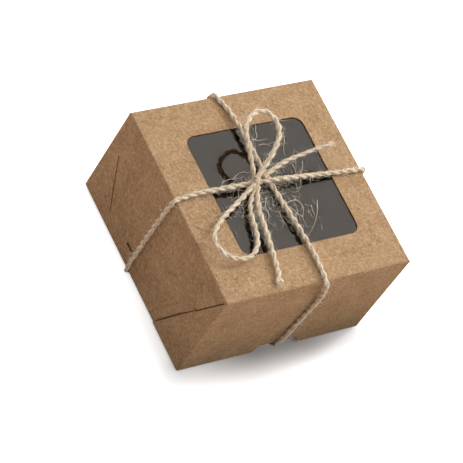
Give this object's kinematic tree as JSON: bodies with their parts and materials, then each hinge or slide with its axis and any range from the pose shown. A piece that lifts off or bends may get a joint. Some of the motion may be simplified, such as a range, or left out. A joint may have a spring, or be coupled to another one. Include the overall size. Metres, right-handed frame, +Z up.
{
  "type": "gift box",
  "caption": "Square kraft board box with a full-depth lift-off lid, a clear film window, a finger notch, a foam insert and tied jute twine with a bow.",
  "frame": {"origin": "centre of the footprint, on the surface the box stands on", "axes": "+Z up through the window, -Y towards the wall with the finger notch, +X to the right seen from there"},
  "size_m": [0.1032, 0.1042, 0.0752],
  "materials": {
    "kraft_board": "uncoated brown kraft board",
    "clear_film": "clear glossy film",
    "black_foam": "black foam",
    "jute_twine": "natural two-ply jute"
  },
  "bodies": {
    "tray": {"tray_panel": "kraft_board", "tray_front_wall": "kraft_board", "tray_back_wall": "kraft_board", "tray_left_wall": "kraft_board", "tray_right_wall": "kraft_board", "tray_ear_front_left": "kraft_board", "tray_ear_front_right": "kraft_board", "tray_ear_back_left": "kraft_board", "tray_ear_back_right": "kraft_board", "foam_insert": "black_foam", "twine_under_left_right": "jute_twine", "twine_under_back": "jute_twine", "twine_under_front": "jute_twine"},
    "lid": {"lid_panel": "kraft_board", "lid_front_wall": "kraft_board", "lid_back_wall": "kraft_board", "lid_left_wall": "kraft_board", "lid_right_wall": "kraft_board", "lid_ear_front_left": "kraft_board", "lid_ear_front_right": "kraft_board", "lid_ear_back_left": "kraft_board", "lid_ear_back_right": "kraft_board", "window_film": "clear_film", "twine_left_right": "jute_twine", "twine_back_front": "jute_twine", "bow_knot": "jute_twine", "bow_loop_upper": "jute_twine", "bow_loop_lower": "jute_twine", "bow_tail_upper": "jute_twine", "bow_tail_lower": "jute_twine"}
  },
  "joints": [
    {"name": "lid_lift", "type": "slide", "parent": "tray", "child": "lid", "axis": [0, 0, 1], "range_m": [0, 0.075]}
  ]
}
